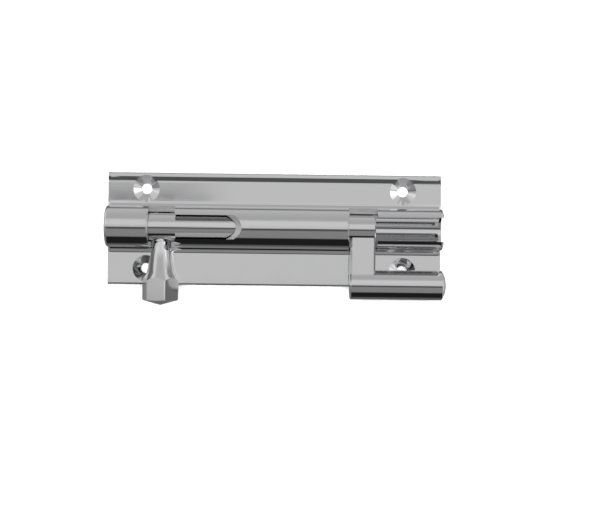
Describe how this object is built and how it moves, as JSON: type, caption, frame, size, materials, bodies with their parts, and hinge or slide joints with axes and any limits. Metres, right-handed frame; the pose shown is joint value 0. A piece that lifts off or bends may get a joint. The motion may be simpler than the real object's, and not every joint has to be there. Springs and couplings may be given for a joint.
{
  "type": "barrel bolt",
  "caption": "Necked barrel bolt: a round bolt bar with a cranked shoot turns in a barrel on a screw-on backplate, worked by a hexagonal knob.",
  "frame": {"origin": "on the plate's flat back face, under the middle of the barrel, whose axis is 0.4 mm off the plate's centre line", "axes": "+X along the bolt, the way it shoots; +Y up the plate, away from the knob as pictured; +Z out of the plate towards the viewer"},
  "size_m": [0.077, 0.0301, 0.0106],
  "materials": {
    "body_chrome": "polished chrome plate",
    "bolt_chrome": "polished chrome plate",
    "knob_chrome": "polished chrome plate",
    "spring_steel": "plain spring steel"
  },
  "bodies": {
    "plate": {"backplate_barrel": "body_chrome"},
    "bolt": {"cranked_bolt": "bolt_chrome", "knob": "knob_chrome", "friction_spring": "spring_steel"}
  },
  "joints": [
    {"name": "bolt_turn", "type": "hinge", "parent": "plate", "child": "bolt", "pos_m": [0, 0, 0.0059], "axis": [-1, 0, 0], "range_deg": [0, 90]}
  ]
}
